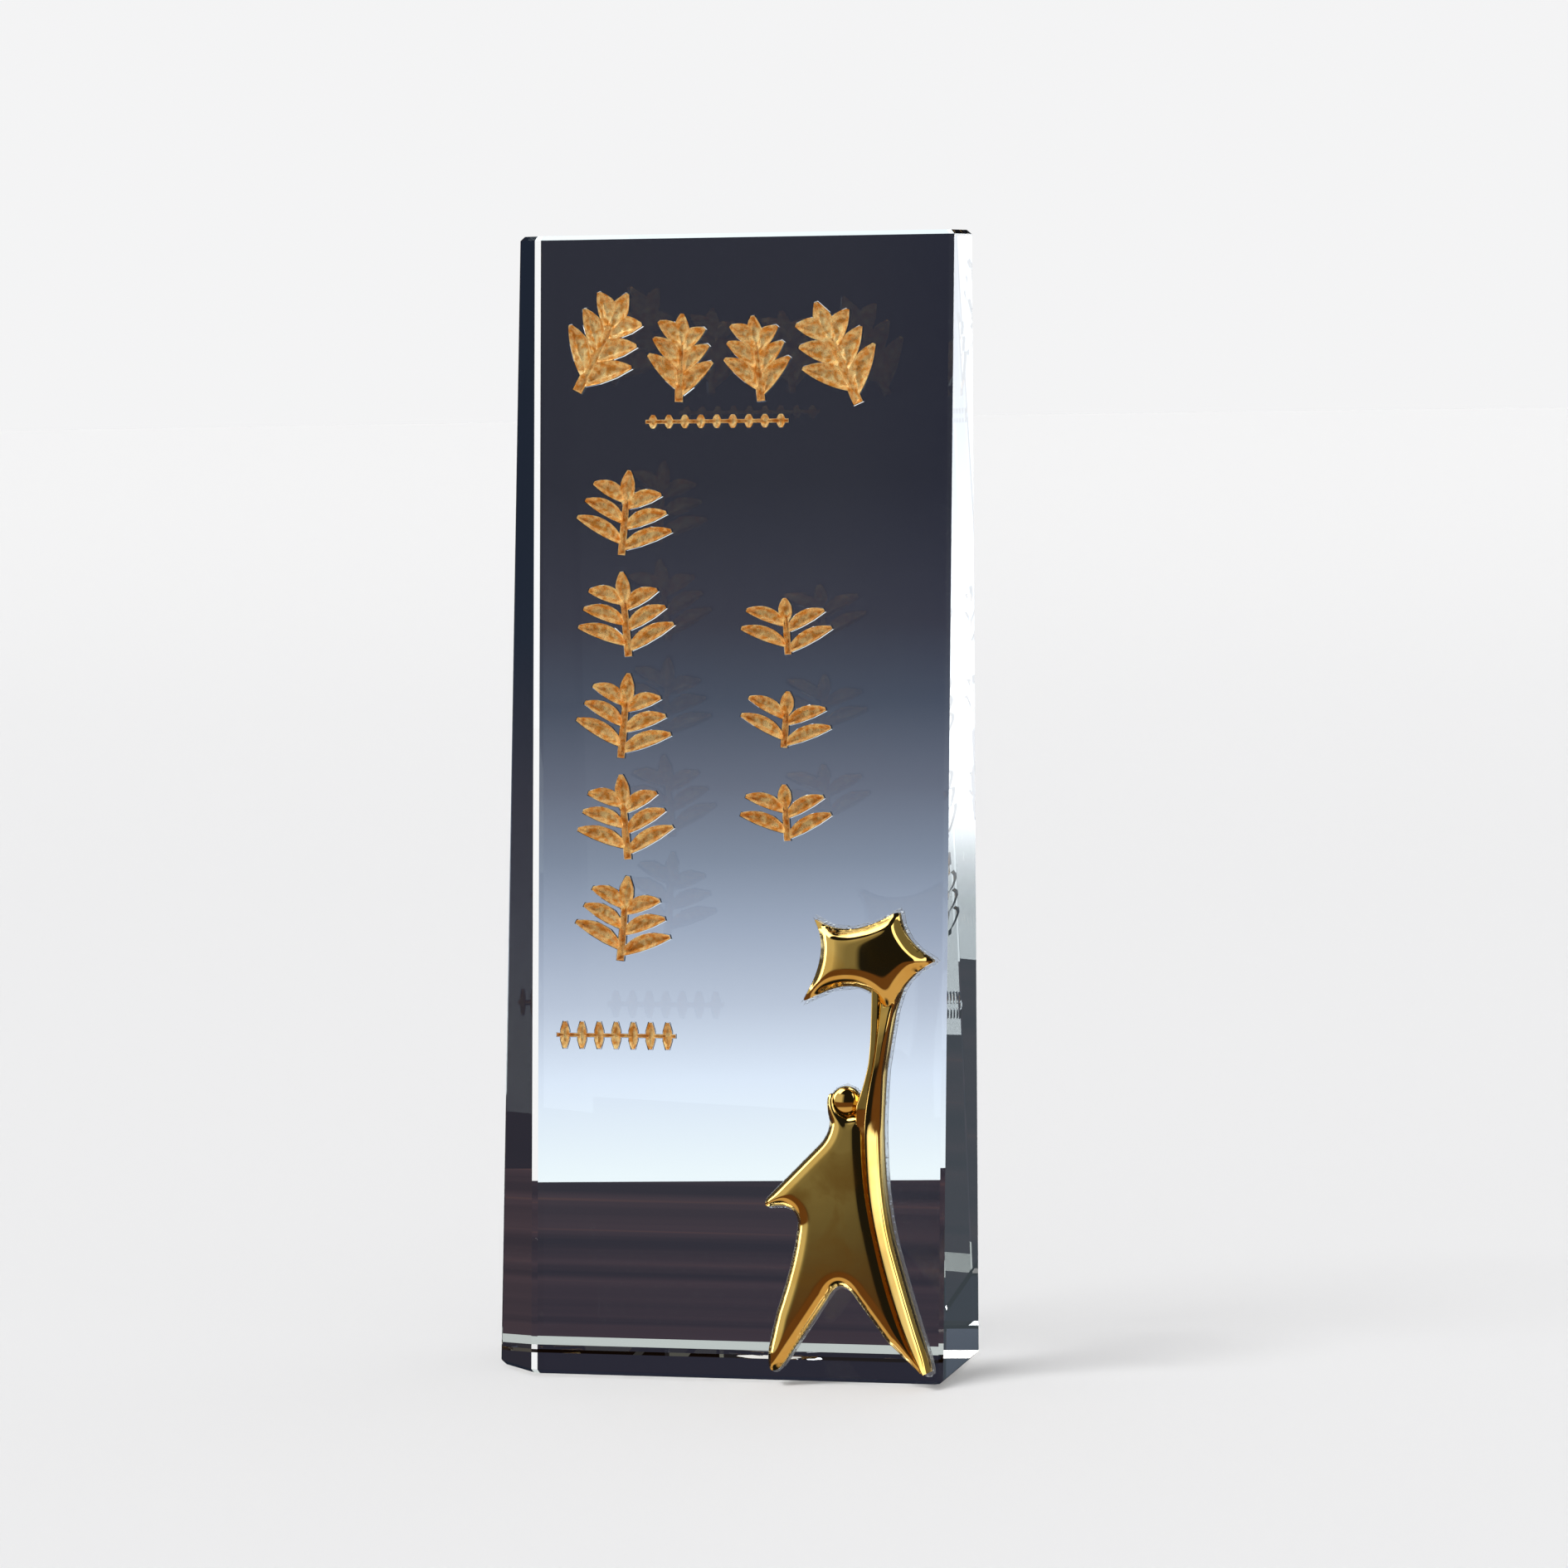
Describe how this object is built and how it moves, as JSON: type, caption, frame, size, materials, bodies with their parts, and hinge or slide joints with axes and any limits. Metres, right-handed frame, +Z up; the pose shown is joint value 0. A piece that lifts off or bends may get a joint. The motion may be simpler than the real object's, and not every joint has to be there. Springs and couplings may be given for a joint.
{
  "type": "star trophy",
  "caption": "Leaning clear crystal block award with engraved gold leaf marks and a glued gilt figure raising a star.",
  "frame": {"origin": "on the surface that the trophy stands on, under the middle of its bounding box", "axes": "+Z up; the engraved front face looks along -Y and leans back towards +Y; +X is to the right of someone facing the front"},
  "size_m": [0.092, 0.0396, 0.22],
  "materials": {
    "crystal": "optically clear, polished flat faces, faint cool tint",
    "gilt_metal": "mirror-polished gold plating on a zinc casting",
    "gold_lacquer": "satin gold lacquer, fine metallic grain, in sandblasted engraving",
    "clear_adhesive": "clear glossy adhesive"
  },
  "bodies": {
    "root": {"crystal_block": "crystal", "figure_casting": "gilt_metal", "adhesive_film": "clear_adhesive", "emblem_left_outer_infill": "gold_lacquer", "emblem_left_inner_infill": "gold_lacquer", "emblem_right_inner_infill": "gold_lacquer", "emblem_right_outer_infill": "gold_lacquer", "caption_row_infill": "gold_lacquer", "left_sprig_1_infill": "gold_lacquer", "left_sprig_2_infill": "gold_lacquer", "left_sprig_3_infill": "gold_lacquer", "left_sprig_4_infill": "gold_lacquer", "left_sprig_5_infill": "gold_lacquer", "right_sprig_1_infill": "gold_lacquer", "right_sprig_2_infill": "gold_lacquer", "right_sprig_3_infill": "gold_lacquer", "date_row_infill": "gold_lacquer"}
  },
  "joints": []
}
